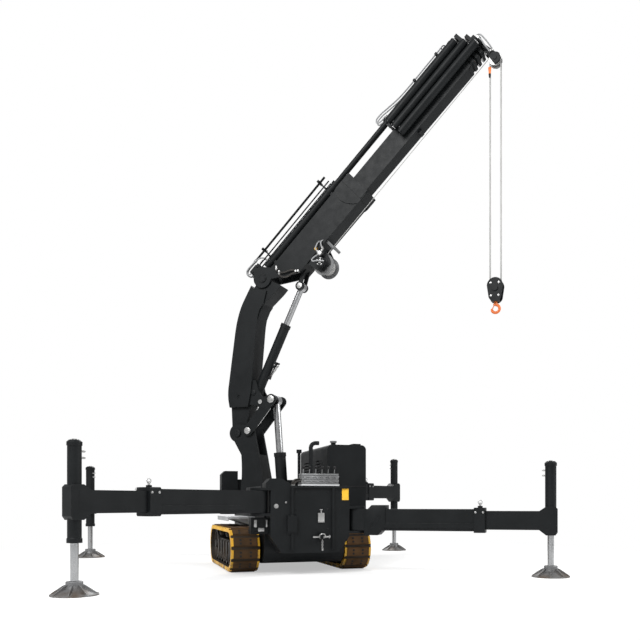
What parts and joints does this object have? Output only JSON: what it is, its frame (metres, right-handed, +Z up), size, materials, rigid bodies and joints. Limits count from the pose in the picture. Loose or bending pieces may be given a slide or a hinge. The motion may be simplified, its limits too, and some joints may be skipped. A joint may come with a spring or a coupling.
{
  "type": "tracked knuckle boom crane",
  "caption": "Tracked crane on swing-out outriggers with a slewing column, a folding boom with telescoping sections, a winch and a hook block.",
  "frame": {"origin": "on the ground, midway between the tracks", "axes": "+X to the carrier's right seen from its front, +Y to its rear, +Z up"},
  "size_m": [6.392, 6.3302, 7.9806],
  "materials": {
    "black_paint": "satin black paint with worn edges",
    "track_yellow": "yellow steel shoes with brown soiled pads",
    "track_frame_black": "dusty black paint",
    "cast_grey": "grey casting",
    "bare_aluminium": "bare aluminium",
    "chrome_rod": "hard chrome rods",
    "bare_steel": "dull galvanised steel",
    "wire_rope": "stranded steel wire",
    "hook_orange": "orange paint"
  },
  "bodies": {
    "carrier": {"chassis_frame": "black_paint", "front_frame": "black_paint", "rear_frame": "black_paint", "engine_bed": "black_paint", "front_body": "black_paint", "engine_hood": "black_paint", "engine_block": "cast_grey", "track_left": "track_yellow", "track_right": "track_yellow", "track_frame_left": "track_frame_black", "track_frame_right": "track_frame_black", "valve_bank": "bare_aluminium", "exhaust_pipe": "black_paint", "side_step": "bare_aluminium", "slew_ring": "bare_steel"},
    "column": {"column": "black_paint"},
    "lift_barrel": {"lift_barrel": "black_paint"},
    "lift_rod": {"lift_rod": "chrome_rod"},
    "link_plates": {"link_plates": "black_paint"},
    "tie_links": {"tie_links": "black_paint"},
    "inner_boom": {"inner_boom": "black_paint"},
    "elbow_barrel": {"elbow_barrel": "black_paint"},
    "elbow_rod": {"elbow_rod": "chrome_rod"},
    "outer_boom": {"outer_boom": "black_paint", "winch_frame": "black_paint", "hoist_rope": "wire_rope"},
    "winch_drum": {"winch_drum": "cast_grey"},
    "section_1": {"section_1": "black_paint"},
    "section_2": {"section_2": "black_paint"},
    "section_3": {"section_3": "black_paint"},
    "section_4": {"section_4": "black_paint"},
    "section_5": {"section_5": "black_paint"},
    "tip_sheaves": {"tip_sheaves": "bare_steel"},
    "falls": {"rope_falls": "wire_rope"},
    "hook_block": {"hook_block": "black_paint"},
    "hook": {"hook": "hook_orange"},
    "arm_lf": {"arm_lf": "black_paint"},
    "beam_lf": {"beam_lf": "black_paint"},
    "leg_lf": {"leg_lf": "chrome_rod", "foot_lf": "bare_steel"},
    "arm_rf": {"arm_rf": "black_paint"},
    "beam_rf": {"beam_rf": "black_paint"},
    "leg_rf": {"leg_rf": "chrome_rod", "foot_rf": "bare_steel"},
    "arm_lr": {"arm_lr": "black_paint"},
    "beam_lr": {"beam_lr": "black_paint"},
    "leg_lr": {"leg_lr": "chrome_rod", "foot_lr": "bare_steel"},
    "arm_rr": {"arm_rr": "black_paint"},
    "beam_rr": {"beam_rr": "black_paint"},
    "leg_rr": {"leg_rr": "chrome_rod", "foot_rr": "bare_steel"}
  },
  "joints": [
    {"name": "slew", "type": "hinge", "parent": "carrier", "child": "column", "pos_m": [-0.25, 0.8, 0.9], "axis": [0, 0, 1], "continuous": true},
    {"name": "lift", "type": "hinge", "parent": "column", "child": "inner_boom", "pos_m": [-0.50826, 1.00543, 2.14], "axis": [-0.6225, -0.7826, 0], "range_deg": [-58, 3]},
    {"name": "link_turn", "type": "hinge", "parent": "column", "child": "link_plates", "pos_m": [-0.34391, 0.8747, 2.17], "axis": [-0.6225, -0.7826, 0], "range_deg": [-58, 3]},
    {"name": "tie_turn", "type": "hinge", "parent": "inner_boom", "child": "tie_links", "pos_m": [-0.17977, 0.74413, 2.64023], "axis": [-0.6225, -0.7826, 0], "range_deg": [-3, 58]},
    {"name": "lift_barrel_turn", "type": "hinge", "parent": "column", "child": "lift_barrel", "pos_m": [0.0787, 0.53854, 1.05], "axis": [-0.6225, -0.7826, 0], "range_deg": [-12, 1]},
    {"name": "lift_rod_slide", "type": "slide", "parent": "lift_barrel", "child": "lift_rod", "axis": [-0.0579, 0.0461, 0.9973], "range_m": [-0.575, 0.032]},
    {"name": "elbow", "type": "hinge", "parent": "inner_boom", "child": "outer_boom", "pos_m": [-0.14826, 0.71907, 4.66], "axis": [0.6225, 0.7826, 0], "range_deg": [-45, 35]},
    {"name": "elbow_barrel_turn", "type": "hinge", "parent": "inner_boom", "child": "elbow_barrel", "pos_m": [-0.28913, 0.83113, 2.8], "axis": [-0.6225, -0.7826, 0], "range_deg": [-3.5, 4.5]},
    {"name": "elbow_rod_slide", "type": "slide", "parent": "elbow_barrel", "child": "elbow_rod", "axis": [0.3367, -0.2678, 0.9027], "range_m": [-0.38, 0.49]},
    {"name": "winch_turn", "type": "hinge", "parent": "outer_boom", "child": "winch_drum", "pos_m": [0.68659, 0.055, 4.78717], "axis": [0.6225, 0.7826, 0], "continuous": true},
    {"name": "telescope_1", "type": "slide", "parent": "outer_boom", "child": "section_1", "axis": [0.5582, -0.444, 0.7009], "range_m": [-0.9, 0.3], "deforming": ["hoist_rope"]},
    {"name": "telescope_2", "type": "slide", "parent": "section_1", "child": "section_2", "axis": [0.5582, -0.444, 0.7009], "range_m": [0, 1.2], "deforming": ["hoist_rope"]},
    {"name": "telescope_3", "type": "slide", "parent": "section_2", "child": "section_3", "axis": [0.5582, -0.444, 0.7009], "range_m": [0, 1.2], "deforming": ["hoist_rope"]},
    {"name": "telescope_4", "type": "slide", "parent": "section_3", "child": "section_4", "axis": [0.5582, -0.444, 0.7009], "range_m": [0, 1.2], "deforming": ["hoist_rope"]},
    {"name": "telescope_5", "type": "slide", "parent": "section_4", "child": "section_5", "axis": [0.5582, -0.444, 0.7009], "range_m": [0, 1.2], "deforming": ["hoist_rope"]},
    {"name": "sheave_turn", "type": "hinge", "parent": "section_5", "child": "tip_sheaves", "pos_m": [2.81858, -1.64086, 7.5792], "axis": [0.6225, 0.7826, 0], "continuous": true},
    {"name": "falls_swing", "type": "hinge", "parent": "section_5", "child": "falls", "pos_m": [2.81858, -1.64086, 7.5792], "axis": [-0.6225, -0.7826, 0], "range_deg": [-20, 60]},
    {"name": "hoist", "type": "slide", "parent": "falls", "child": "hook_block", "axis": [0, 0, -1], "range_m": [-2.5, 3.3], "deforming": ["rope_falls"]},
    {"name": "hook_turn", "type": "hinge", "parent": "hook_block", "child": "hook", "pos_m": [2.81858, -1.64086, 4.17], "axis": [0, 0, 1], "continuous": true},
    {"name": "arm_lf_swing", "type": "hinge", "parent": "carrier", "child": "arm_lf", "pos_m": [-0.69, -1.45, 1], "axis": [0, 0, 1], "range_deg": [-12, 45]},
    {"name": "beam_lf_slide", "type": "slide", "parent": "arm_lf", "child": "beam_lf", "axis": [-0.8387, -0.5446, 0], "range_m": [-0.7, 0.25]},
    {"name": "jack_lf_slide", "type": "slide", "parent": "beam_lf", "child": "leg_lf", "axis": [0, 0, -1], "range_m": [-0.38, 0.3]},
    {"name": "arm_rf_swing", "type": "hinge", "parent": "carrier", "child": "arm_rf", "pos_m": [0.69, -1.45, 1], "axis": [0, 0, -1], "range_deg": [-12, 45]},
    {"name": "beam_rf_slide", "type": "slide", "parent": "arm_rf", "child": "beam_rf", "axis": [0.8387, -0.5446, 0], "range_m": [-0.7, 0.25]},
    {"name": "jack_rf_slide", "type": "slide", "parent": "beam_rf", "child": "leg_rf", "axis": [0, 0, -1], "range_m": [-0.38, 0.3]},
    {"name": "arm_lr_swing", "type": "hinge", "parent": "carrier", "child": "arm_lr", "pos_m": [-0.69, 1.45, 1], "axis": [0, 0, -1], "range_deg": [-12, 45]},
    {"name": "beam_lr_slide", "type": "slide", "parent": "arm_lr", "child": "beam_lr", "axis": [-0.8387, 0.5446, 0], "range_m": [-0.7, 0.25]},
    {"name": "jack_lr_slide", "type": "slide", "parent": "beam_lr", "child": "leg_lr", "axis": [0, 0, -1], "range_m": [-0.38, 0.3]},
    {"name": "arm_rr_swing", "type": "hinge", "parent": "carrier", "child": "arm_rr", "pos_m": [0.69, 1.45, 1], "axis": [0, 0, 1], "range_deg": [-12, 45]},
    {"name": "beam_rr_slide", "type": "slide", "parent": "arm_rr", "child": "beam_rr", "axis": [0.8387, 0.5446, 0], "range_m": [-0.7, 0.25]},
    {"name": "jack_rr_slide", "type": "slide", "parent": "beam_rr", "child": "leg_rr", "axis": [0, 0, -1], "range_m": [-0.38, 0.3]}
  ],
  "couplings": [
    {"joint": "link_turn", "follows": "lift", "ratio": 1},
    {"joint": "tie_turn", "follows": "lift", "ratio": -1},
    {"joint": "lift_barrel_turn", "follows": "lift", "ratio": 0.205},
    {"joint": "lift_rod_slide", "follows": "lift", "m_per_rad": 0.565},
    {"joint": "elbow_barrel_turn", "follows": "elbow", "ratio": -0.09},
    {"joint": "elbow_rod_slide", "follows": "elbow", "m_per_rad": -0.615},
    {"joint": "telescope_3", "follows": "telescope_2", "ratio": 1},
    {"joint": "telescope_4", "follows": "telescope_2", "ratio": 1},
    {"joint": "telescope_5", "follows": "telescope_2", "ratio": 1}
  ]
}
